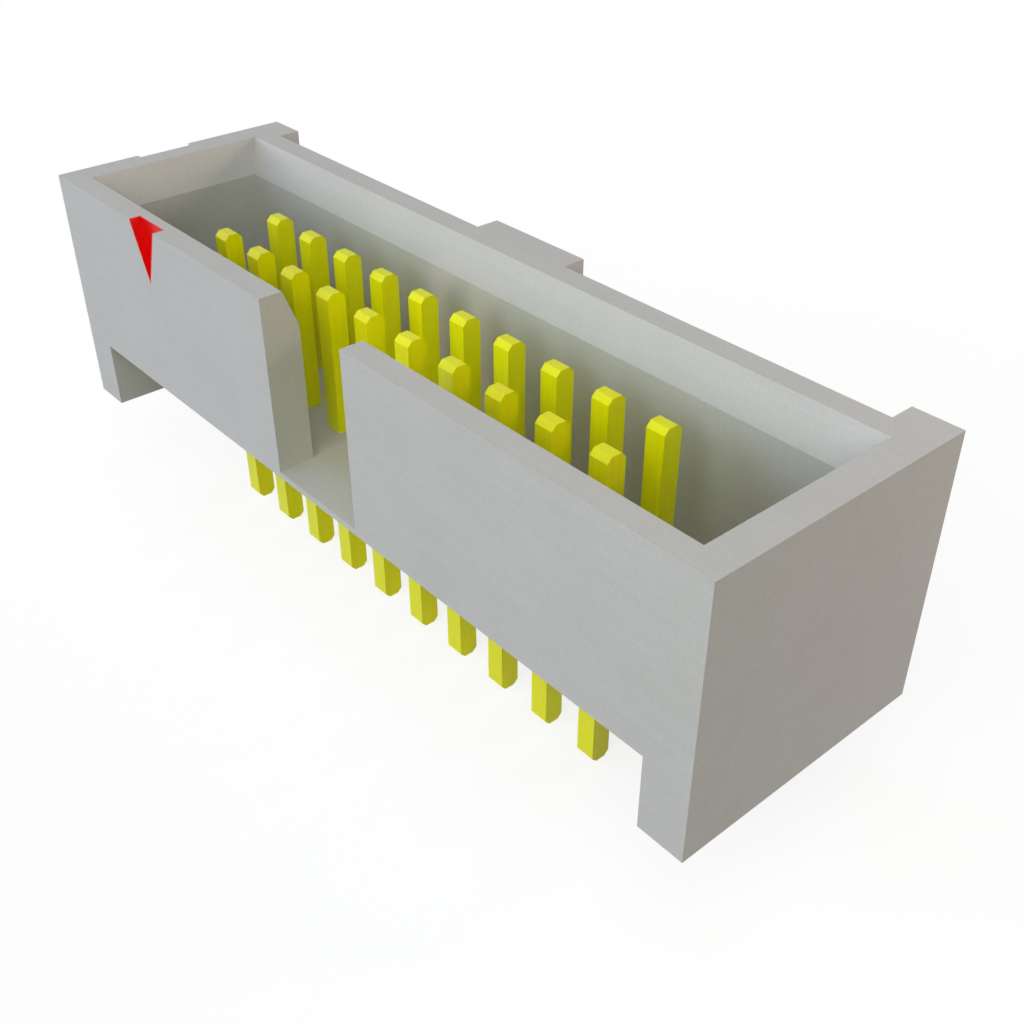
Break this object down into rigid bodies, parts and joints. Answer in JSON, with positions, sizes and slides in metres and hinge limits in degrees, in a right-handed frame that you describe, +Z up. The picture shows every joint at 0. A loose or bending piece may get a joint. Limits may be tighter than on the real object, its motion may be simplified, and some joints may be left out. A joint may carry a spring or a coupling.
{
  "type": "shrouded pin header",
  "caption": "Shrouded through-hole pin header: rows of square pins stand in an open-topped moulded box with a keying slot, end feet and a pin-one triangle; their tails solder into a board.",
  "frame": {"origin": "centre of the pin grid on the face of the circuit board, level with the undersides of the two feet", "axes": "+X along the pin rows, away from pin 1; +Y across the rows, from the slotted front wall to the back wall; +Z up out of the open mouth, against the tails"},
  "size_m": [0.019, 0.0055, 0.0072],
  "materials": {
    "housing_plastic": "pale grey moulded thermoplastic, fine matt mould texture",
    "pin_plating": "lemon-yellow plated square wire, satin, drawn lengthwise",
    "mark_paint": "red marking paint, satin"
  },
  "bodies": {
    "root": {"housing": "housing_plastic", "pin_01": "pin_plating", "pin_02": "pin_plating", "pin_03": "pin_plating", "pin_04": "pin_plating", "pin_05": "pin_plating", "pin_06": "pin_plating", "pin_07": "pin_plating", "pin_08": "pin_plating", "pin_09": "pin_plating", "pin_10": "pin_plating", "pin_11": "pin_plating", "pin_12": "pin_plating", "pin_13": "pin_plating", "pin_14": "pin_plating", "pin_15": "pin_plating", "pin_16": "pin_plating", "pin_17": "pin_plating", "pin_18": "pin_plating", "pin_19": "pin_plating", "pin_20": "pin_plating", "pin_1_mark": "mark_paint"}
  },
  "joints": []
}
